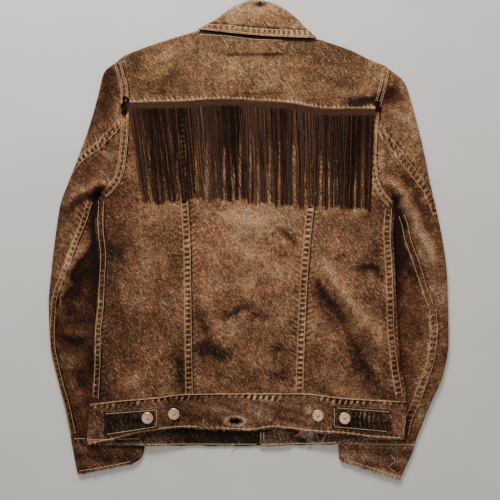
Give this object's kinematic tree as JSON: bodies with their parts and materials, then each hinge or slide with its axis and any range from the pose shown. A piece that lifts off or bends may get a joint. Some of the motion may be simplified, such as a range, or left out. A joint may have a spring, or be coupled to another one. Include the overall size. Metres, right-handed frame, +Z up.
{
  "type": "denim trucker jacket",
  "caption": "Short denim jacket laid flat with its back up: yoke with a fringe, seamed back, waistband with adjuster tabs, folded sleeves and turned-down collar.",
  "frame": {"origin": "centre of the footprint, on the surface that the jacket lies on", "axes": "+X towards the wearer's right sleeve, +Y from hem to collar, +Z up from the surface"},
  "size_m": [0.5822, 0.6976, 0.0205],
  "materials": {
    "worn_denim": "stone washed, matt",
    "dark_denim": "matt, slightly waxed",
    "fringe": "matt strands",
    "button_metal": "satin, rubbed"
  },
  "bodies": {
    "root": {"back_yoke": "worn_denim", "back_centre": "worn_denim", "back_side_left": "worn_denim", "back_side_right": "worn_denim", "back_waistband": "worn_denim", "front_left": "worn_denim", "front_right": "worn_denim", "front_waistband_left": "worn_denim", "front_waistband_right": "worn_denim", "sleeve_top_left": "worn_denim", "sleeve_under_left": "worn_denim", "sleeve_top_right": "worn_denim", "sleeve_under_right": "worn_denim", "cuff_left": "worn_denim", "cuff_right": "worn_denim", "collar": "worn_denim", "waist_tab_left": "dark_denim", "waist_tab_right": "dark_denim", "button_tab_left": "button_metal", "button_band_left": "button_metal", "button_band_right": "button_metal", "button_tab_right": "button_metal", "fringe": "fringe"}
  },
  "joints": []
}
